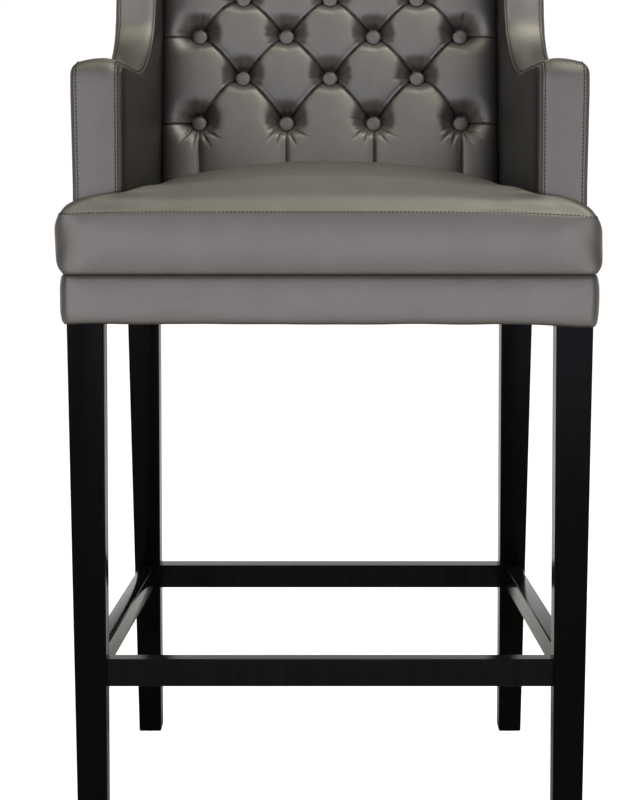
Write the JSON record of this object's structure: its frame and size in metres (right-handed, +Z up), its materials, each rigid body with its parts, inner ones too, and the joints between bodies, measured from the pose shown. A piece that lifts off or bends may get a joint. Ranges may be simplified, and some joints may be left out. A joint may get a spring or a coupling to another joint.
{
  "type": "bar stool",
  "caption": "Armed bar stool with a deep-buttoned reclined back, slim wings, boxed T-shaped seat cushion and black tapered legs joined by a box of stretchers.",
  "frame": {"origin": "middle of the footprint, on the floor", "axes": "+Z up, the front of the stool faces -Y, +X to the right seen from the front"},
  "size_m": [0.5872, 0.6342, 1.1175],
  "materials": {
    "upholstery": "satin, fine woven, silver grey",
    "black_lacquer": "black satin lacquer",
    "frame_wood": "raw, hidden inside the upholstery",
    "dust_cloth": "black non-woven cloth",
    "glide_plastic": "matte"
  },
  "bodies": {
    "root": {"left_front_leg": "black_lacquer", "right_front_leg": "black_lacquer", "left_rear_leg": "black_lacquer", "right_rear_leg": "black_lacquer", "front_stretcher": "black_lacquer", "rear_stretcher": "black_lacquer", "left_stretcher": "black_lacquer", "right_stretcher": "black_lacquer", "left_front_glide": "glide_plastic", "right_front_glide": "glide_plastic", "left_rear_glide": "glide_plastic", "right_rear_glide": "glide_plastic", "front_rail": "frame_wood", "rear_rail": "frame_wood", "left_side_rail": "frame_wood", "right_side_rail": "frame_wood", "left_front_corner_block": "frame_wood", "right_front_corner_block": "frame_wood", "left_rear_corner_block": "frame_wood", "right_rear_corner_block": "frame_wood", "seat_deck": "frame_wood", "dust_cover": "dust_cloth", "apron_front": "upholstery", "apron_rear": "upholstery", "left_apron": "upholstery", "right_apron": "upholstery", "seat_cushion": "upholstery", "left_arm_band": "upholstery", "right_arm_band": "upholstery", "left_arm_inner_pad": "upholstery", "right_arm_inner_pad": "upholstery", "left_arm_outer_panel": "upholstery", "right_arm_outer_panel": "upholstery", "left_arm_frame": "frame_wood", "right_arm_frame": "frame_wood", "back_lower_rail": "frame_wood", "back_upper_rail": "frame_wood", "back_board": "frame_wood", "back_outer_panel": "upholstery", "back_top_band": "upholstery", "tufted_back": "upholstery", "button_row1_1": "upholstery", "button_row1_2": "upholstery", "button_row1_3": "upholstery", "button_row1_4": "upholstery", "button_row2_1": "upholstery", "button_row2_2": "upholstery", "button_row2_3": "upholstery", "button_row3_1": "upholstery", "button_row3_2": "upholstery", "button_row3_3": "upholstery", "button_row3_4": "upholstery", "button_row4_1": "upholstery", "button_row4_2": "upholstery", "button_row4_3": "upholstery", "button_row5_1": "upholstery", "button_row5_2": "upholstery", "button_row5_3": "upholstery", "button_row5_4": "upholstery"}
  },
  "joints": []
}
